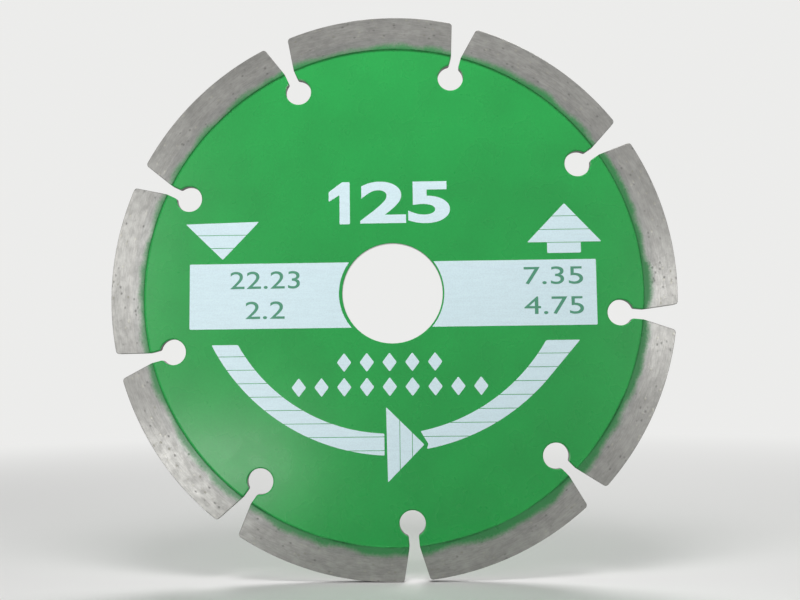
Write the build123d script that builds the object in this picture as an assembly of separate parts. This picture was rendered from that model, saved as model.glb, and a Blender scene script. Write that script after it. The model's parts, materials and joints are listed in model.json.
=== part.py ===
from build123d import *
import math
import os

# Segmented diamond cutting disc for an angle grinder, 125 mm across, with a 22.23 mm bore.
#
# The disc stands upright. Its axis is Y, the printed front looks towards -Y, and the origin is
# the centre of the bore at half the core's thickness. Angles are counted from +X, anticlockwise
# as the front is seen. Lengths are in millimetres.
#
# A punched steel core carries nine sintered segments. Keyhole slots part them: a round hole stops
# cracks, a narrow neck lets the rim expand, and the mouth flares out between the segment ends.
# Under each segment the core's rim is cut into dovetailed keys. A foot of bond without diamond
# sits astride the keys and fills the gaps between them, and the diamond layer stands on the foot.

# Disc
DISC_DIAMETER = 125.0
BORE_DIAMETER = 22.23
CORE_THICKNESS = 1.6
SEGMENT_THICKNESS = 2.2

# Rim, from the outside inwards
DIAMOND_HEIGHT = 4.75          # radial height of the layer that holds the diamond
FOOT_HEIGHT = 2.6              # radial height of the foot below it, seen from the side
FOOT_OVER_KEYS = 0.6           # bond between the tips of the keys and the diamond layer
SEGMENT_EDGE_BREAK = 0.12      # bevel along the free edges of foot and diamond layer
SEGMENT_CORNER_RADIUS = 0.8    # where an end face turns into the rim

# Keyhole slots
SEGMENT_COUNT = 9
FIRST_SLOT_ANGLE = -5.63       # degrees, against the level of the print
SLOT_HOLE_DIAMETER = 5.7
SLOT_HOLE_TO_FOOT = 4.88       # from the middle of the round hole out to the foot's inner edge
SLOT_NECK_WIDTH = 2.2
SLOT_NECK_ROOT_RADIUS = 0.6    # where the neck runs into the round hole
SLOT_FLARE_ANGLE = 13.5        # degrees that each side of the mouth leans outwards
SLOT_FLARE_BLEND_RADIUS = 3.0  # where the neck opens into the mouth, at the foot's inner edge

# Dovetailed keys on the core's rim, cut as gaps that widen inwards
KEY_GAPS_PER_SEGMENT = 4
KEY_GAP_PITCH_ANGLE = 7.8      # degrees
KEY_GAP_MOUTH_WIDTH = 1.8
KEY_GAP_FLOOR_WIDTH = 2.6
KEY_GAP_DEPTH = 1.2

# Edges of the punched core
PUNCH_ROLL_WIDTH = 0.25        # edge that the punch pulls in on the front
PUNCH_ROLL_DEPTH = 0.15
BORE_EDGE_BREAK = 0.1

# What follows from the sizes above
DISC_RADIUS = DISC_DIAMETER / 2
BORE_RADIUS = BORE_DIAMETER / 2
FOOT_OUTER_RADIUS = DISC_RADIUS - DIAMOND_HEIGHT
FOOT_INNER_RADIUS = FOOT_OUTER_RADIUS - FOOT_HEIGHT
KEY_TIP_RADIUS = FOOT_OUTER_RADIUS - FOOT_OVER_KEYS
SLOT_HOLE_RADIUS = FOOT_INNER_RADIUS - SLOT_HOLE_TO_FOOT
PITCH_ANGLE = 360 / SEGMENT_COUNT

FRONT_AXIS = Axis((0, 0, 0), (0, -1, 0))
CUT_DEPTH = 2 * SEGMENT_THICKNESS   # deep enough to pass through every piece
SAME = 1e-4                         # lengths closer than this are equal


def plate(outline, thickness):
    """Solid with the given front view, centred on the disc's middle plane."""
    return extrude(Plane.XZ * outline, amount=thickness / 2, both=True)


def turned(shape, angle):
    """The shape turned about the disc's axis, anticlockwise as the front is seen."""
    return shape.rotate(FRONT_AXIS, angle)


def pitch_angles():
    """Angle of each slot."""
    return [FIRST_SLOT_ANGLE + index * PITCH_ANGLE for index in range(SEGMENT_COUNT)]


def lies_at_radius(edge, radius):
    """Whether the whole edge is at the given distance from the disc's axis."""
    distances = [math.hypot(point.X, point.Z) for point in edge.positions((0.0, 0.3, 0.7, 1.0))]
    return all(abs(distance - radius) < SAME for distance in distances)


def mirrored_outline(*upper_points):
    """Face bounded by the points and their mirror images below the X axis."""
    lower_points = [(x, -y) for x, y in upper_points]
    return Polygon(*lower_points, *reversed(upper_points), align=None)


def slot_cutter():
    """Keyhole slot that points along +X, from its round hole out past the rim."""
    half_neck = SLOT_NECK_WIDTH / 2
    far_radius = DISC_RADIUS + SEGMENT_THICKNESS
    flare = math.tan(math.radians(SLOT_FLARE_ANGLE))
    half_mouth = half_neck + (far_radius - FOOT_INNER_RADIUS) * flare
    neck = mirrored_outline(
        (SLOT_HOLE_RADIUS, half_neck),
        (FOOT_INNER_RADIUS, half_neck),
        (far_radius, half_mouth),
    )
    hole = Pos(SLOT_HOLE_RADIUS, 0) * Circle(SLOT_HOLE_DIAMETER / 2)
    outline = hole + neck
    neck_roots = outline.vertices().group_by(Axis.X)[0]
    outline = fillet(neck_roots, SLOT_NECK_ROOT_RADIUS)
    flare_starts = [point for point in outline.vertices() if abs(point.X - FOOT_INNER_RADIUS) < SAME]
    outline = fillet(flare_starts, SLOT_FLARE_BLEND_RADIUS)
    return plate(outline, CUT_DEPTH)


def key_gap_cutter():
    """Gap between two keys, pointing along +X, wider at its floor than at its mouth."""
    floor_radius = KEY_TIP_RADIUS - KEY_GAP_DEPTH
    narrowing = (KEY_GAP_FLOOR_WIDTH - KEY_GAP_MOUTH_WIDTH) / KEY_GAP_DEPTH
    far_radius = KEY_TIP_RADIUS + FOOT_OVER_KEYS / 2
    half_floor = KEY_GAP_FLOOR_WIDTH / 2
    half_far = half_floor - (far_radius - floor_radius) * narrowing / 2
    return plate(mirrored_outline((floor_radius, half_floor), (far_radius, half_far)), CUT_DEPTH)


def key_gap_angles():
    """Angle of each gap in the core's rim, evenly spread about the middle of each segment."""
    middle = (KEY_GAPS_PER_SEGMENT - 1) / 2
    offsets = [(index - middle) * KEY_GAP_PITCH_ANGLE for index in range(KEY_GAPS_PER_SEGMENT)]
    return [slot + PITCH_ANGLE / 2 + offset for slot in pitch_angles() for offset in offsets]


def slot_edges(face):
    """Edges of one of the core's flat faces that run along its slots."""
    return [edge for edge in face.outer_wire().edges() if not lies_at_radius(edge, KEY_TIP_RADIUS)]


def make_core(slot):
    """Steel core: bored, slotted, with its punched edges finished and its rim keyed."""
    core = plate(Circle(KEY_TIP_RADIUS) - Circle(BORE_RADIUS), CORE_THICKNESS)
    bore_edges = [edge for edge in core.edges() if lies_at_radius(edge, BORE_RADIUS)]
    core = chamfer(bore_edges, BORE_EDGE_BREAK)
    core -= [turned(slot, angle) for angle in pitch_angles()]
    front = core.faces().sort_by(Axis.Y)[0]
    core = chamfer(slot_edges(front), PUNCH_ROLL_WIDTH, PUNCH_ROLL_DEPTH, reference=front)
    gap = key_gap_cutter()
    core -= [turned(gap, angle) for angle in key_gap_angles()]
    return core


def rim_piece(inner_radius, outer_radius, joint_radius, corner_radius, slot):
    """One pitch of the rim between two slots, bevelled all round except at the joint."""
    sides = [FIRST_SLOT_ANGLE, FIRST_SLOT_ANGLE + PITCH_ANGLE]
    reach = 2 * outer_radius
    corners = [(reach * math.cos(math.radians(side)), reach * math.sin(math.radians(side))) for side in sides]
    outline = (Circle(outer_radius) - Circle(inner_radius)) & Polygon((0, 0), *corners, align=None)
    piece = plate(outline, SEGMENT_THICKNESS)
    piece -= [turned(slot, side) for side in sides]
    if corner_radius:
        end_edges = piece.edges().filter_by(Axis.Y)
        piece = fillet([edge for edge in end_edges if lies_at_radius(edge, outer_radius)], corner_radius)
    faces = piece.faces().sort_by(Axis.Y)
    edges = faces[0].edges() + faces[-1].edges()
    free_edges = [edge for edge in edges if not lies_at_radius(edge, joint_radius)]
    return chamfer(free_edges, SEGMENT_EDGE_BREAK)


def make_foot(slot, core):
    """Foot of one segment: it sits astride the keys and fills the gaps between them."""
    block = rim_piece(FOOT_INNER_RADIUS, FOOT_OUTER_RADIUS, FOOT_OUTER_RADIUS, 0, slot)
    return block - core


def make_diamond_layer(slot):
    """Layer of one segment that cuts, standing on the foot."""
    return rim_piece(FOOT_OUTER_RADIUS, DISC_RADIUS, FOOT_OUTER_RADIUS, SEGMENT_CORNER_RADIUS, slot)


def make_nodes():
    """Every piece of the disc by name, the segments numbered anticlockwise from the first slot."""
    slot = slot_cutter()
    core = make_core(slot)
    foot = make_foot(slot, core)
    diamond_layer = make_diamond_layer(slot)
    nodes = {"steel_core": core}
    for index in range(SEGMENT_COUNT):
        nodes[f"segment_foot_{index + 1}"] = turned(foot, index * PITCH_ANGLE)
        nodes[f"diamond_layer_{index + 1}"] = turned(diamond_layer, index * PITCH_ANGLE)
    return nodes


os.makedirs("parts", exist_ok=True)
for name, shape in make_nodes().items():
    export_step(shape, f"parts/{name}.step")
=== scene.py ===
import bmesh
import bpy
import json
import math
from collections import namedtuple
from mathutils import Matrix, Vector

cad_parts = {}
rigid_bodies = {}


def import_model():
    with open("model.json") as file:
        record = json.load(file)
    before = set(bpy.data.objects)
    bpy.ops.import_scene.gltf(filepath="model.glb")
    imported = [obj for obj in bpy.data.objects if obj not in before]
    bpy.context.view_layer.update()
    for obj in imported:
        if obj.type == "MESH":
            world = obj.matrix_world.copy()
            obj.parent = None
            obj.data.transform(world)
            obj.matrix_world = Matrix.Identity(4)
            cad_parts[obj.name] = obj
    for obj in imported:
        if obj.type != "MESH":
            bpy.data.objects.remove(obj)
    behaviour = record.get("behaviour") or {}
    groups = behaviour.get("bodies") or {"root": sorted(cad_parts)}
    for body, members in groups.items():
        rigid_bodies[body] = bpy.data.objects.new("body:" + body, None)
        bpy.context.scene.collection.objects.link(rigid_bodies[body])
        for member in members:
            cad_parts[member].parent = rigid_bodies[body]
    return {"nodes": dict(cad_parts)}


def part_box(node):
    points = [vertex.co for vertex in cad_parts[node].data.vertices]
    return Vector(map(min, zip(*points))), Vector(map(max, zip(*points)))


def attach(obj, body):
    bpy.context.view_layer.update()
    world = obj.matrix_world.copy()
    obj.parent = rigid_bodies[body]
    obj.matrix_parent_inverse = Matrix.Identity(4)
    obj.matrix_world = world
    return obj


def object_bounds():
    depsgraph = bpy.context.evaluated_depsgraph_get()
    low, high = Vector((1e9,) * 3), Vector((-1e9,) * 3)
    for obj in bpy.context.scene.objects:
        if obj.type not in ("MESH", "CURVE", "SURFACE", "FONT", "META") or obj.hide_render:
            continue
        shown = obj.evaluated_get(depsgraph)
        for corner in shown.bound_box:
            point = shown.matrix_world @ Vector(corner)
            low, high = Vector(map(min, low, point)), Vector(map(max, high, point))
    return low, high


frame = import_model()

# Looks of the diamond cutting disc: green enamel on the steel core, bare sintered segments,
# and a pale print on the front. The disc's axis is Y and its printed front looks towards -Y.
# Lengths are in millimetres up to the point where a mesh, a lamp or a node takes them in metres.

MM = 0.001
TURN = 2 * math.pi
NODES = frame["nodes"]
cad_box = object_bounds()


def node_radii(name):
    """Smallest and largest distance of a node's points from the disc's axis."""
    radii = [math.hypot(point.co.x, point.co.z) / MM for point in NODES[name].data.vertices]
    return min(radii), max(radii)


# Sizes that come from the frame
BORE_RADIUS = node_radii("steel_core")[0]
FOOT_INNER_RADIUS = node_radii("segment_foot_1")[0]
RIM_RADIUS = node_radii("diamond_layer_1")[1]
FRONT_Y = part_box("steel_core")[0].y / MM

# Paint
PAINT_GREEN = (0.011, 0.352, 0.063)
PAINT_GLOSS = 0.5
PAINT_ROUGHNESS = 0.28
PAINT_ROUGHNESS_SPREAD = 0.02
ORANGE_PEEL_SIZE = 1.1
ORANGE_PEEL_DEPTH = 0.006
PAINT_EDGE_RADIUS = 56.3         # where the spray fades out on the feet
PAINT_EDGE_OFFSET = (0.3, -0.3)  # the spray mask sat this far off the bore, towards X and Z
PAINT_EDGE_SOFTNESS = 0.85
PAINT_EDGE_WAVER = 0.5
OVERSPRAY = (0.03, 0.215, 0.062)  # thin coat on the feet, through which the metal shows
PAINT_FILLET_WIDTH = 0.42        # paint that gathered in the corner between the core and the feet
PAINT_FILLET_HEIGHT = 0.25
# Painted shade in the corner where the core meets the feet: a dark colour laid along it, strongest below
# and towards the right
CORNER_SHADE = (0.010, 0.11, 0.028)
CORNER_SHADE_ROUGHNESS = 0.8
CORNER_SHADE_WIDTH = 0.42
CORNER_SHADE_BELOW = 0.95               # share of painted shade in the corner, on the lower half and on the upper
CORNER_SHADE_ABOVE = 0.45

# Metal
FOOT_BOND = (0.315, 0.314, 0.302)
DIAMOND_BOND = (0.335, 0.331, 0.316)
SINTER_METALLIC = 0.85
SINTER_ROUGHNESS = (0.43, 0.38)  # where the mottle is dark, and where it is light
STREAK_DEPTH = 0.012
# Painted shade: the pores' dark colour stands in for the shade inside the tiny pits
PORE_SHADE = (0.06, 0.06, 0.058)
PORE_SHARE = 0.18
GRIT = (0.46, 0.45, 0.36)
GRIT_SHARE = 0.2
PIT_CELL_SIZE = 0.8              # each cell of this size holds a pore, a grain, both or neither
PIT_DEPTH = 0.02
MACHINED_STEEL = (0.50, 0.49, 0.47)
# Painted shade: the punched slot walls are cut steel made far darker than bare steel, standing in for
# their shade
PUNCHED_STEEL_SHADED = (0.13, 0.125, 0.12)
CUT_MARK_DEPTH = 0.01
BORE_WALL_REACH = 1.0            # steel nearer to the bore's edge than this is machined

# Print
INK_WHITE = (0.75, 0.93, 0.99)
INK_GREEN = (0.08, 0.31, 0.19)
INK_THICKNESS = 0.03
INK_CORNER_RADIUS = 0.3
HAIRLINE_WIDTH = 0.14
HAIRLINE_PITCH = 2.97
ARC_STEPS = 28
BLUNT_CORNER = math.radians(160.0)   # corners of the print at least this open aren't rounded

# Camera, as a photographer would set it: 40.4 mm lens on a 36 mm wide sensor
CAMERA_LENS = 40.41
SENSOR_WIDTH = 36.0
CAMERA_PLACE = (6.30, -198.30, -17.77)
CAMERA_TURN = (94.69, 0.665, 1.403)
CAMERA_NEAREST = 1.0

# Stage
BACKDROP = (0.84, 0.84, 0.83)
FLOOR = (0.78, 0.78, 0.77)
FLOOR_BOUNCE = (0.2, 0.2, 0.197)   # what the floor throws back on the disc
FLOOR_RADIUS = 3000.0
FLOOR_FADE = (60.0, 500.0)       # distances between which the floor turns into the backdrop
AMBIENT = 0.06                   # even light on the disc from the world and the far floor


# Node helpers

Place = namedtuple("Place", "point x y z radius")


def add(tree, kind, sockets=None, **settings):
    """A new node. The sockets take a plain value, or the output that they are linked to."""
    new = tree.nodes.new(kind)
    for name, value in settings.items():
        setattr(new, name, value)
    for name, value in (sockets or {}).items():
        if isinstance(value, bpy.types.NodeSocket):
            tree.links.new(value, new.inputs[name])
        else:
            new.inputs[name].default_value = value
    return new


def sums(tree, operation, first, second=0.0):
    """Output of one step of arithmetic on plain numbers or outputs."""
    return add(tree, "ShaderNodeMath", {0: first, 1: second}, operation=operation).outputs[0]


def product(tree, *factors):
    """Output of all the factors multiplied."""
    result = factors[0]
    for factor in factors[1:]:
        result = sums(tree, "MULTIPLY", result, factor)
    return result


def length_of(tree, x, z):
    """Output of the distance from the axis of a point with the given X and Z."""
    return sums(tree, "SQRT", sums(tree, "ADD", product(tree, x, x), product(tree, z, z)))


def ramp(tree, value, low, high, start=0.0, end=1.0):
    """Output that runs smoothly from start to end as the value goes from low to high."""
    sockets = {"Value": value, "From Min": low, "From Max": high, "To Min": start, "To Max": end}
    return add(tree, "ShaderNodeMapRange", sockets, interpolation_type="SMOOTHSTEP").outputs[0]


def blend(tree, share, first, second):
    """Colour between an output and a plain colour."""
    sockets = {0: share, 6: first, 7: (*second, 1.0)}
    return add(tree, "ShaderNodeMix", sockets, data_type="RGBA").outputs[2]


def shaded(tree, colour, shade):
    """The plain colour made lighter or darker by an output."""
    return add(tree, "ShaderNodeVectorMath", {0: colour, "Scale": shade}, operation="SCALE").outputs[0]


def noise(tree, vector, size, detail=2.0, roughness=0.5):
    """Soft noise from 0 to 1 whose features measure about the given size in millimetres."""
    sockets = {"Vector": vector, "Scale": 1 / (size * MM), "Detail": detail, "Roughness": roughness}
    return add(tree, "ShaderNodeTexNoise", sockets).outputs[0]


def varied(tree, vector, size, low, high, detail=2.0, spread=0.2):
    """Output that wanders from low to high in patches of the given size in millimetres.

    A smaller spread makes the step between low and high harder.
    """
    return ramp(tree, noise(tree, vector, size, detail), 0.5 - spread, 0.5 + spread, low, high)


def point_of(tree):
    """Output of a point's place, from the origin of its object."""
    return add(tree, "ShaderNodeTexCoord").outputs["Object"]


def place_of(tree):
    """Outputs of a point's place on the disc, with its X, Y and Z and its distance from the axis."""
    point = point_of(tree)
    x, y, z = add(tree, "ShaderNodeSeparateXYZ", {0: point}).outputs
    return Place(point, x, y, z, length_of(tree, x, z))


def vector_math(tree, operation, first, second=(0.0, 0.0, 0.0)):
    """Output of one step of arithmetic on vectors."""
    return add(tree, "ShaderNodeVectorMath", {0: first, 1: second}, operation=operation).outputs[0]


def stretched(tree, scale):
    """The point with each coordinate multiplied, which draws a noise out where it is under 1."""
    return vector_math(tree, "MULTIPLY", point_of(tree), scale)


def along_rim(tree, stretch):
    """Coordinates that are drawn out along the rim, as grinding marks are."""
    place = place_of(tree)
    unrolled = sums(tree, "DIVIDE", RIM_RADIUS * MM / stretch, place.radius)
    around_x = product(tree, place.x, unrolled)
    outwards = sums(tree, "ADD", place.radius, place.y)
    around_z = product(tree, place.z, unrolled)
    return add(tree, "ShaderNodeCombineXYZ", {0: around_x, 1: outwards, 2: around_z}).outputs[0]


def rim_tangent(tree):
    """Direction of the grinding marks, which run round the disc's axis."""
    along = vector_math(tree, "CROSS_PRODUCT", point_of(tree), (0.0, 1.0, 0.0))
    return vector_math(tree, "NORMALIZE", along)


def bump(tree, height, depth, below=None):
    """Normal of a surface whose height noise stands for the given depth in millimetres."""
    sockets = {"Height": height, "Distance": depth * MM, "Strength": 1.0}
    if below:
        sockets["Normal"] = below
    return add(tree, "ShaderNodeBump", sockets).outputs[0]


def principled(tree, sockets):
    """Shader of one surface."""
    return add(tree, "ShaderNodeBsdfPrincipled", sockets).outputs[0]


def mix_shaders(tree, share, first, second):
    """Shader between two shaders."""
    return add(tree, "ShaderNodeMixShader", {0: share, 1: first, 2: second}).outputs[0]


def new_material(name):
    """Empty node material and its tree."""
    material = bpy.data.materials.new(name)
    material.use_nodes = True
    material.node_tree.nodes.clear()
    return material, material.node_tree


def finish_material(tree, shader):
    """Joins the shader to the material's output."""
    add(tree, "ShaderNodeOutputMaterial", {"Surface": shader})


# Surfaces

def paint_shader(tree, colour):
    """Sprayed enamel with a fine orange peel."""
    point = point_of(tree)
    cloud = varied(tree, point, size=14.0, low=0.95, high=1.06)
    grain = varied(tree, point, size=0.35, low=0.95, high=1.05, detail=3.0, spread=0.25)
    smoothest = PAINT_ROUGHNESS - PAINT_ROUGHNESS_SPREAD
    roughest = PAINT_ROUGHNESS + PAINT_ROUGHNESS_SPREAD
    orange_peel = noise(tree, point, ORANGE_PEEL_SIZE, detail=1.0)
    return principled(tree, {
        "Base Color": shaded(tree, colour, product(tree, cloud, grain)),
        "Roughness": varied(tree, point, size=5.0, low=smoothest, high=roughest, spread=0.3),
        "Specular IOR Level": PAINT_GLOSS,
        "Normal": bump(tree, orange_peel, ORANGE_PEEL_DEPTH),
    })


def corner_shade_shader(tree):
    """Painted shade: a dark, rough, patchy colour that stands in for the shadow in the corner."""
    shade = varied(tree, point_of(tree), size=0.5, low=0.7, high=1.2)
    return principled(tree, {"Base Color": shaded(tree, CORNER_SHADE, shade), "Roughness": CORNER_SHADE_ROUGHNESS})


def corner_shade_share(tree):
    """Share of painted shade in the corner where the core meets the feet: most below, none at the far
    left.
    """
    place = place_of(tree)
    away = sums(tree, "ABSOLUTE", sums(tree, "SUBTRACT", place.radius, FOOT_INNER_RADIUS * MM))
    line = ramp(tree, away, 0.0, CORNER_SHADE_WIDTH * MM, 1.0, 0.0)
    patches = varied(tree, place.point, size=9.0, low=0.3, high=1.0, spread=0.15)
    lower = ramp(tree, place.z, -RIM_RADIUS / 2 * MM, 0.0, CORNER_SHADE_BELOW, CORNER_SHADE_ABOVE)
    side = ramp(tree, place.x, -RIM_RADIUS * MM, -RIM_RADIUS / 2 * MM)
    return product(tree, line, patches, lower, side)


def painted_shader(tree, colour):
    """Paint with painted shade darkening its corner."""
    return mix_shaders(tree, corner_shade_share(tree), paint_shader(tree, colour), corner_shade_shader(tree))


def paint_cover(tree):
    """Share of the surface that the spray covers: all of it inside its edge, none far outside."""
    place = place_of(tree)
    offset_x, offset_z = PAINT_EDGE_OFFSET
    from_x = sums(tree, "SUBTRACT", place.x, offset_x * MM)
    from_z = sums(tree, "SUBTRACT", place.z, offset_z * MM)
    from_centre = length_of(tree, from_x, from_z)
    reach = PAINT_EDGE_WAVER * MM
    waver = varied(tree, place.point, size=9.0, low=-reach, high=reach)
    speckle = varied(tree, place.point, size=0.5, low=-reach / 3, high=reach / 3, spread=0.25)
    edge = sums(tree, "ADD", from_centre, sums(tree, "ADD", waver, speckle))
    inner = (PAINT_EDGE_RADIUS - PAINT_EDGE_SOFTNESS) * MM
    outer = (PAINT_EDGE_RADIUS + PAINT_EDGE_SOFTNESS) * MM
    return ramp(tree, edge, inner, outer, 1.0, 0.0)


def bare_steel_shader(tree, colour, roughness):
    """Cut steel on the walls of bore and slots, with fine marks across the plate."""
    marks = noise(tree, stretched(tree, (1.0, 0.15, 1.0)), size=0.12, detail=3.0, roughness=0.6)
    return principled(tree, {
        "Base Color": shaded(tree, colour, ramp(tree, marks, 0.25, 0.75, start=0.75, end=1.15)),
        "Metallic": 1.0,
        "Roughness": roughness,
        "Normal": bump(tree, marks, CUT_MARK_DEPTH),
    })


def pits(tree, grit_share):
    """Outputs that are 1 in the middle of a pore and of a diamond grain, and 0 elsewhere."""
    sockets = {"Vector": along_rim(tree, 1.5), "Scale": 1 / (PIT_CELL_SIZE * MM)}
    cells = add(tree, "ShaderNodeTexVoronoi", sockets).outputs
    inside = ramp(tree, cells["Distance"], 0.05, 0.42, 1.0, 0.0)
    pick = add(tree, "ShaderNodeSeparateColor", {0: cells["Color"]}).outputs
    is_pore = product(tree, inside, sums(tree, "GREATER_THAN", pick[0], 1.0 - PORE_SHARE))
    is_grit = product(tree, inside, sums(tree, "LESS_THAN", pick[1], grit_share))
    return is_pore, is_grit


def sinter_shader(tree, bond, grit_share):
    """Pressed and sintered metal powder, ground along the rim, with pores and grains of diamond."""
    streaks = noise(tree, along_rim(tree, 9.0), size=0.25, detail=4.0, roughness=0.6)
    mottle = noise(tree, along_rim(tree, 1.7), size=1.2, detail=4.0, roughness=0.6)
    is_pore, is_grit = pits(tree, grit_share)
    shade = product(
        tree,
        ramp(tree, streaks, 0.25, 0.75, start=0.90, end=1.10),
        ramp(tree, mottle, 0.30, 0.70, start=0.90, end=1.08),
        varied(tree, along_rim(tree, 2.0), size=4.5, low=0.93, high=1.06),
    )
    # painted shade darkens the pores
    colour = blend(tree, product(tree, is_pore, 0.4), shaded(tree, bond, shade), PORE_SHADE)
    colour = blend(tree, product(tree, is_grit, 0.35), colour, GRIT)
    dull = ramp(tree, mottle, 0.35, 0.65, *SINTER_ROUGHNESS)
    ground = bump(tree, streaks, STREAK_DEPTH)
    return principled(tree, {
        "Base Color": colour,
        "Metallic": SINTER_METALLIC,
        "Roughness": sums(tree, "ADD", product(tree, is_pore, 0.15), dull),
        "Anisotropic": 0.85,
        "Anisotropic Rotation": 0.25,
        "Tangent": rim_tangent(tree),
        "Normal": bump(tree, sums(tree, "SUBTRACT", is_grit, is_pore), PIT_DEPTH, below=ground),
    })


def core_material():
    """Enamel on both faces of the core, and cut steel on the walls of bore and slots."""
    material, tree = new_material("painted_core")
    in_bore = sums(tree, "LESS_THAN", place_of(tree).radius, (BORE_RADIUS + BORE_WALL_REACH) * MM)
    machined = bare_steel_shader(tree, MACHINED_STEEL, roughness=0.34)
    # the slot walls' cut steel is darkened with painted shade
    punched = bare_steel_shader(tree, PUNCHED_STEEL_SHADED, roughness=0.5)
    wall = mix_shaders(tree, in_bore, punched, machined)
    normal = add(tree, "ShaderNodeNewGeometry").outputs["True Normal"]
    normal_y = add(tree, "ShaderNodeSeparateXYZ", {0: normal}).outputs[1]
    is_face = ramp(tree, sums(tree, "ABSOLUTE", normal_y), 0.3, 0.5)
    finish_material(tree, mix_shaders(tree, is_face, wall, painted_shader(tree, PAINT_GREEN)))
    return material


def foot_material():
    """Sintered bond without diamond, with the spray's soft edge over it."""
    material, tree = new_material("segment_foot")
    sinter = sinter_shader(tree, FOOT_BOND, grit_share=0.0)
    coat = painted_shader(tree, OVERSPRAY)
    finish_material(tree, mix_shaders(tree, paint_cover(tree), sinter, coat))
    return material


def diamond_material():
    """Sintered bond with diamond grains, bare."""
    material, tree = new_material("diamond_layer")
    finish_material(tree, sinter_shader(tree, DIAMOND_BOND, GRIT_SHARE))
    return material


def ink_material(name, colour):
    """Screen-printed ink: thin, slightly streaky and a little duller than the paint."""
    material, tree = new_material(name)
    point = point_of(tree)
    squeegee = varied(tree, stretched(tree, (0.12, 1.0, 1.0)), size=0.5, low=0.98, high=1.015, detail=3.0)
    grain = varied(tree, point, size=0.3, low=0.96, high=1.03)
    finish_material(tree, principled(tree, {
        "Base Color": shaded(tree, colour, product(tree, squeegee, grain)),
        "Roughness": 0.42,
        "Normal": bump(tree, noise(tree, point, size=0.25), 0.004),
    }))
    return material


def fillet_material():
    """The core's enamel, for the paint that gathered along the feet."""
    material, tree = new_material("gathered_paint")
    finish_material(tree, painted_shader(tree, PAINT_GREEN))
    return material


# Pieces on the disc

def link_piece(name, mesh, material):
    """Object for a finished bmesh, riding on the disc."""
    data = bpy.data.meshes.new(name)
    mesh.to_mesh(data)
    mesh.free()
    data.materials.append(material)
    piece = bpy.data.objects.new(name, data)
    bpy.context.scene.collection.objects.link(piece)
    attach(piece, "root")


# Paint in the corner against the feet

def fillet_section():
    """Hollow corner filling, as (radius, distance out from the core's face), sunk a little into both."""
    steps, sunk = 4, 0.01
    start = FOOT_INNER_RADIUS - PAINT_FILLET_WIDTH
    section = [(start, -sunk)]
    for step in range(1, steps + 1):
        angle = TURN / 4 * step / steps
        out = PAINT_FILLET_HEIGHT * (1 - math.cos(angle))
        section.append((start + PAINT_FILLET_WIDTH * math.sin(angle), out))
    return section + [(FOOT_INNER_RADIUS + sunk, PAINT_FILLET_HEIGHT), (FOOT_INNER_RADIUS + sunk, -sunk)]


def inner_edge_angles(name):
    """Angles of the two ends of a foot's inner edge, about the disc's axis."""
    near = FOOT_INNER_RADIUS + 0.01
    points = [point.co for point in NODES[name].data.vertices]
    edge = [point for point in points if math.hypot(point.x, point.z) < near * MM]
    middle = math.atan2(sum(point.z for point in edge), sum(point.x for point in edge))
    offsets = [(math.atan2(point.z, point.x) - middle + math.pi) % TURN - math.pi for point in edge]
    return middle + min(offsets), middle + max(offsets)


def fill_corner(mesh, foot, side):
    """Adds the paint in the corner along one foot, on the front (side -1) or the back (side 1)."""
    steps, inset = 30, 0.15
    low, high = inner_edge_angles(foot)
    low += inset / FOOT_INNER_RADIUS
    high -= inset / FOOT_INNER_RADIUS
    rings = []
    for step in range(steps + 1):
        angle = low + (high - low) * step / steps
        ring = [
            (radius * math.cos(angle), side * (out - FRONT_Y), radius * math.sin(angle))
            for radius, out in fillet_section()
        ]
        rings.append([mesh.verts.new(Vector(place) * MM) for place in ring])
    for first, second in zip(rings, rings[1:]):
        for index in range(len(first)):
            mesh.faces.new((first[index - 1], first[index], second[index], second[index - 1]))
    mesh.faces.new(rings[0])
    mesh.faces.new(rings[-1])


def make_paint_fillets():
    """Paint gathered along every foot, one piece for the front and one for the back."""
    material = fillet_material()
    feet = [name for name in NODES if name.startswith("segment_foot")]
    for name, side in (("paint_fillet_front", -1), ("paint_fillet_back", 1)):
        mesh = bmesh.new()
        for foot in feet:
            fill_corner(mesh, foot, side)
        bmesh.ops.recalc_face_normals(mesh, faces=mesh.faces[:])
        link_piece(name, mesh, material)


# Outlines, as lists of (x, z) on the front

def circle_through(first, second, third):
    """Centre and radius of the circle through three points."""
    (ax, az), (bx, bz), (cx, cz) = first, second, third
    twice = 2 * (ax * (bz - cz) + bx * (cz - az) + cx * (az - bz))
    a, b, c = ax * ax + az * az, bx * bx + bz * bz, cx * cx + cz * cz
    x = (a * (bz - cz) + b * (cz - az) + c * (az - bz)) / twice
    z = (a * (cx - bx) + b * (ax - cx) + c * (bx - ax)) / twice
    return x, z, math.hypot(ax - x, az - z)


def arc(first, second, third):
    """Points along the arc from the first point through the second to the third."""
    x, z, radius = circle_through(first, second, third)
    start, middle, end = (math.atan2(point[1] - z, point[0] - x) for point in (first, second, third))
    sweep = (end - start) % TURN
    if (middle - start) % TURN > sweep:
        sweep -= TURN
    angles = [start + sweep * index / ARC_STEPS for index in range(ARC_STEPS + 1)]
    return [(x + radius * math.cos(angle), z + radius * math.sin(angle)) for angle in angles]


def softened(outline):
    """The outline with its sharp corners rounded, as a print has them."""
    steps = 3
    points = []
    for index, place in enumerate(outline):
        corner = Vector(place)
        before = Vector(outline[index - 1]) - corner
        after = Vector(outline[(index + 1) % len(outline)]) - corner
        if before.angle(after) > BLUNT_CORNER:
            points.append(place)
            continue
        start = corner + before.normalized() * min(INK_CORNER_RADIUS, before.length / 3)
        end = corner + after.normalized() * min(INK_CORNER_RADIUS, after.length / 3)
        for step in range(steps + 1):
            share = step / steps
            points.append(tuple(start.lerp(corner, share).lerp(corner.lerp(end, share), share)))
    return points


# Pieces of the print

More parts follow.
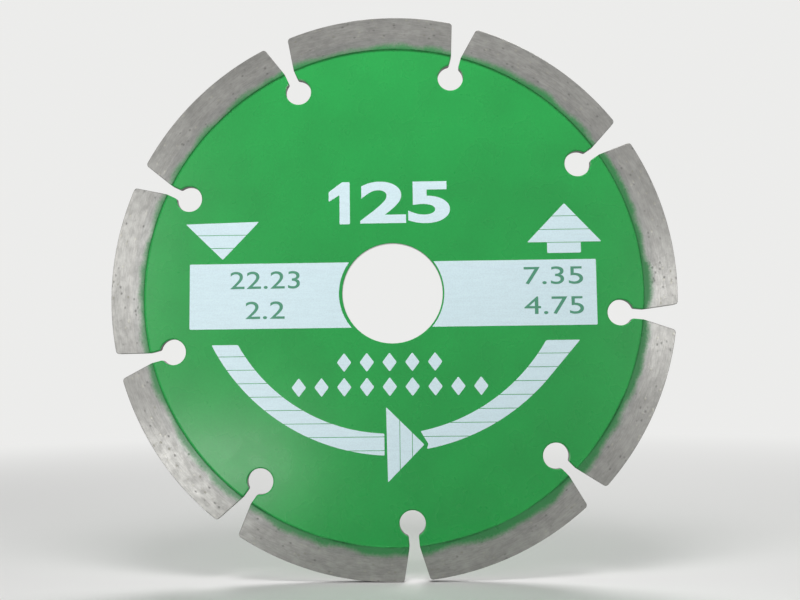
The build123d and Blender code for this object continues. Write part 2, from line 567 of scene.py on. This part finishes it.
def cut_hairlines(mesh, axis, places):
    """Opens a thin gap across the flat mesh at each place along X (axis 0) or Z (axis 2)."""
    across = Vector((1.0, 0.0, 0.0) if axis == 0 else (0.0, 0.0, 1.0))
    half = HAIRLINE_WIDTH / 2 * MM
    for place in places:
        for side in (place * MM - half, place * MM + half):
            geometry = mesh.verts[:] + mesh.edges[:] + mesh.faces[:]
            bmesh.ops.bisect_plane(mesh, geom=geometry, dist=1e-7, plane_co=across * side, plane_no=across)
        inside = [
            face for face in mesh.faces
            if abs(face.calc_center_median()[axis] - place * MM) < half
        ]
        bmesh.ops.delete(mesh, geom=inside, context="FACES")


def ink(name, outline, material, hairlines=(), axis=2):
    """Thin closed patch of ink with the given outline, parted by hairlines."""
    mesh = bmesh.new()
    mesh.faces.new([mesh.verts.new((x * MM, FRONT_Y * MM, z * MM)) for x, z in softened(outline)])
    cut_hairlines(mesh, axis, hairlines)
    lifted = bmesh.ops.extrude_face_region(mesh, geom=mesh.faces[:])["geom"]
    points = [item for item in lifted if isinstance(item, bmesh.types.BMVert)]
    bmesh.ops.translate(mesh, verts=points, vec=(0.0, -INK_THICKNESS * MM, 0.0))
    bmesh.ops.triangulate(mesh, faces=[face for face in mesh.faces if len(face.verts) > 4])
    bmesh.ops.recalc_face_normals(mesh, faces=mesh.faces[:])
    link_piece(name, mesh, material)


def hairlines_between(low, high, start):
    """Places of the hairlines at the common pitch, counted down from the start."""
    places = []
    place = start
    while place > low:
        if place < high:
            places.append(place)
        place -= HAIRLINE_PITCH
    return places


def make_band(white):
    """Band across the disc, cut out round the bore."""
    end_left, end_right, bottom, top = -45.05, 44.9, -7.55, 6.95
    gap_radius, gap_x = 11.65, -0.2
    for name, end, side in (("print_band_left", end_left, -1), ("print_band_right", end_right, 1)):
        low_x, high_x = (gap_x + side * math.sqrt(gap_radius ** 2 - z ** 2) for z in (bottom, top))
        hollow = arc((low_x, bottom), (gap_x + side * gap_radius, 0.0), (high_x, top))
        ink(name, [(end, top), (end, bottom), *hollow], white)


def make_side_arrows(white):
    """Downward arrowhead on the left and upward arrow on the right, above the band."""
    left = [(-46.0, 16.0), (-37.7, 7.9), (-29.6, 16.35)]
    ink("print_arrow_left", left, white, hairlines=[13.4, 10.5])
    right = [
        (38.25, 19.5), (29.9, 10.84), (34.29, 10.84), (34.29, 8.4),
        (41.7, 8.4), (41.7, 10.84), (46.25, 10.84),
    ]
    ink("print_arrow_right", right, white, hairlines=[16.64, 13.66, 10.75])


def make_turning_arrow(white):
    """Long arrow round the lower half, which shows the way that the disc turns."""
    head = [(-1.67, -25.0), (-1.4, -41.3), (6.6, -33.2)]
    ink("print_arrow_head", head, white, hairlines=[1.29, 4.0], axis=0)
    left_outer = arc((-40.1, -11.05), (-26.5, -26.9), (-2.1, -35.5))
    left_inner = arc((-2.1, -30.75), (-21.4, -24.7), (-34.25, -11.05))
    lines = hairlines_between(low=-36.0, high=-12.0, start=-13.65)
    ink("print_tail_left", left_outer + left_inner, white, hairlines=lines)
    right_inner = arc((33.6, -10.8), (23.1, -22.6), (5.8, -30.3))
    notch = [(7.5, -33.1)]
    right_outer = arc((7.1, -34.15), (22.3, -28.6), (33.3, -19.75))
    ink("print_tail_right", right_inner + notch + right_outer + [(41.0, -10.8)], white, hairlines=lines)


def number(name, text, box, material, layer=0, weight=0.0):
    """Plain number that fills the box (low x, low z, high x, high z) on the given layer of ink."""
    low_x, low_z, high_x, high_z = box
    half_depth = 0.5
    curve = bpy.data.curves.new(name, "FONT")
    curve.body = text
    curve.offset = weight
    curve.extrude = half_depth
    source = bpy.data.objects.new(name + "_curve", curve)
    bpy.context.scene.collection.objects.link(source)
    bpy.context.view_layer.update()
    mesh = bmesh.new()
    mesh.from_mesh(bpy.data.meshes.new_from_object(source))
    bpy.data.objects.remove(source)
    xs = [point.co.x for point in mesh.verts]
    ys = [point.co.y for point in mesh.verts]
    wide = (high_x - low_x) / (max(xs) - min(xs))
    tall = (high_z - low_z) / (max(ys) - min(ys))
    for point in mesh.verts:
        x, up, out = point.co
        flat_x = low_x + (x - min(xs)) * wide
        flat_z = low_z + (up - min(ys)) * tall
        y = FRONT_Y - (layer + half_depth + out) * INK_THICKNESS
        point.co = (flat_x * MM, y * MM, flat_z * MM)
    link_piece(name, mesh, material)


def make_numbers(white, green):
    """Plain sizes in millimetres above the bore and on the band."""
    low, high = 15.5, 25.0
    one = [
        (-9.3, low), (-9.3, high), (-11.0, high), (-14.0, high - 2.2),
        (-14.0, high - 4.4), (-11.6, high - 2.9), (-11.6, low),
    ]
    ink("print_number_top_1", one, white)
    number("print_number_top_25", "25", (-7.0, low, 13.0, high), white, weight=0.03)
    rows = {
        "print_number_left_upper": ("22.23", (-36.0, 1.3, -20.5, 5.2)),
        "print_number_left_lower": ("2.2", (-32.6, -5.4, -23.9, -1.5)),
        "print_number_right_upper": ("7.35", (29.0, 1.5, 42.0, 5.4)),
        "print_number_right_lower": ("4.75", (29.0, -5.1, 42.0, -1.2)),
    }
    for name, (text, box) in rows.items():
        number(name, text, box, green, layer=1)


def make_lozenges(white):
    """Two rows of plain lozenges between the bore and the long arrow."""
    half_width, half_height, pitch, middle_x = 1.6, 2.1, 5.0, -0.8
    for row, count, z in (("upper", 5, -15.2), ("lower", 9, -20.6)):
        for index in range(count):
            x = middle_x + (index - (count - 1) / 2) * pitch
            outline = [
                (x - half_width, z), (x, z - half_height), (x + half_width, z), (x, z + half_height),
            ]
            ink(f"print_lozenge_{row}_{index + 1}", outline, white)


def dress_nodes():
    """Gives every node of the frame its finish."""
    finishes = {"steel": core_material(), "segment": foot_material(), "diamond": diamond_material()}
    for name, piece in NODES.items():
        kind = name.split("_")[0]
        piece.data.materials.clear()
        piece.data.materials.append(finishes[kind])


# Stage

def seen_or_mirrored(tree):
    """1 for what the camera sees straight, mirrored or through something, 0 for light on the disc."""
    rays = add(tree, "ShaderNodeLightPath").outputs
    seen = sums(tree, "MAXIMUM", rays["Is Camera Ray"], rays["Is Transmission Ray"])
    return sums(tree, "MAXIMUM", seen, rays["Is Glossy Ray"])


def floor_material():
    """Pale floor whose far part fades into the backdrop, and throws only even light on the disc."""
    material, tree = new_material("floor")
    distance = add(tree, "ShaderNodeVectorMath", {0: point_of(tree)}, operation="LENGTH").outputs["Value"]
    seen = seen_or_mirrored(tree)
    bounce = add(tree, "ShaderNodeBsdfDiffuse", {"Color": (*FLOOR_BOUNCE, 1.0)}).outputs[0]
    shown = add(tree, "ShaderNodeBsdfDiffuse", {"Color": (*FLOOR, 1.0)}).outputs[0]
    near = mix_shaders(tree, seen, bounce, shown)
    strength = ramp(tree, seen, 0.0, 1.0, AMBIENT, 1.0)
    glow = {"Color": (*BACKDROP, 1.0), "Strength": strength}
    far = add(tree, "ShaderNodeEmission", glow).outputs[0]
    fade = ramp(tree, distance, *(edge * MM for edge in FLOOR_FADE))
    finish_material(tree, mix_shaders(tree, fade, near, far))
    return material


def make_floor():
    """Round floor under the disc."""
    mesh = bmesh.new()
    bmesh.ops.create_circle(mesh, cap_ends=True, segments=96, radius=FLOOR_RADIUS * MM)
    data = bpy.data.meshes.new("floor")
    mesh.to_mesh(data)
    mesh.free()
    data.materials.append(floor_material())
    floor = bpy.data.objects.new("floor", data)
    floor.location = (0.0, 0.0, cad_box[0][2])
    bpy.context.scene.collection.objects.link(floor)
    return floor


def background(tree, colour, strength):
    """Shader of the world with the given colour and strength."""
    sockets = {"Color": (*colour, 1.0), "Strength": strength}
    return add(tree, "ShaderNodeBackground", sockets).outputs[0]


def make_world():
    """Pale backdrop for what is seen or mirrored, and a softer even light on everything else."""
    world = bpy.data.worlds.new("studio")
    bpy.context.scene.world = world
    world.use_nodes = True
    tree = world.node_tree
    tree.nodes.clear()
    ambient = background(tree, (1.0, 1.0, 1.0), AMBIENT)
    shown = background(tree, BACKDROP, 1.0)
    surface = mix_shaders(tree, seen_or_mirrored(tree), ambient, shown)
    add(tree, "ShaderNodeOutputWorld", {"Surface": surface})


def make_lamp(name, place, size, energy, glossy=True):
    """Soft box that looks at the disc's middle; place and size in millimetres."""
    lamp = bpy.data.lights.new(name, "AREA")
    lamp.shape = "RECTANGLE"
    lamp.size, lamp.size_y = (side * MM for side in size)
    lamp.energy = energy
    holder = bpy.data.objects.new(name, lamp)
    holder.location = Vector(place) * MM
    holder.rotation_euler = (-holder.location).to_track_quat("-Z", "Y").to_euler()
    holder.visible_camera = False
    holder.visible_glossy = glossy
    bpy.context.scene.collection.objects.link(holder)
    return holder


def lit_alone(name, floor):
    """Collection of every mesh but the floor, which a lamp takes to light these alone."""
    lit = bpy.data.collections.new(name)
    for piece in bpy.context.scene.objects:
        if piece.type == "MESH" and piece != floor:
            lit.objects.link(piece)
    return lit


def make_lamps(floor):
    """Soft box above the front, one at each side, one behind, and a low one for the disc alone."""
    make_lamp("key", place=(0.0, -105.0, 175.0), size=(120.0, 80.0), energy=0.28, glossy=False)
    make_lamp("left", place=(-243.0, -312.0, 59.0), size=(160.0, 160.0), energy=0.31)
    make_lamp("right", place=(250.0, -311.0, 8.0), size=(120.0, 110.0), energy=0.29)
    make_lamp("back", place=(80.0, 300.0, 460.0), size=(400.0, 300.0), energy=2.4)
    low = make_lamp("low", place=(-72.0, -118.0, -49.0), size=(70.0, 24.0), energy=0.035)
    low.light_linking.receiver_collection = lit_alone("lit_by_low", floor)


def make_camera():
    """Camera where the photographer stood."""
    data = bpy.data.cameras.new("camera")
    data.lens = CAMERA_LENS
    data.sensor_width = SENSOR_WIDTH
    data.clip_start = CAMERA_NEAREST * MM
    camera = bpy.data.objects.new("camera", data)
    camera.location = Vector(CAMERA_PLACE) * MM
    camera.rotation_euler = [math.radians(angle) for angle in CAMERA_TURN]
    bpy.context.scene.collection.objects.link(camera)
    bpy.context.scene.camera = camera


bpy.context.scene.view_settings.view_transform = "Standard"
white_ink = ink_material("white_ink", INK_WHITE)
green_ink = ink_material("green_ink", INK_GREEN)
dress_nodes()
make_paint_fillets()
make_band(white_ink)
make_side_arrows(white_ink)
make_turning_arrow(white_ink)
make_numbers(white_ink, green_ink)
make_lozenges(white_ink)
make_lamps(make_floor())
make_world()
make_camera()
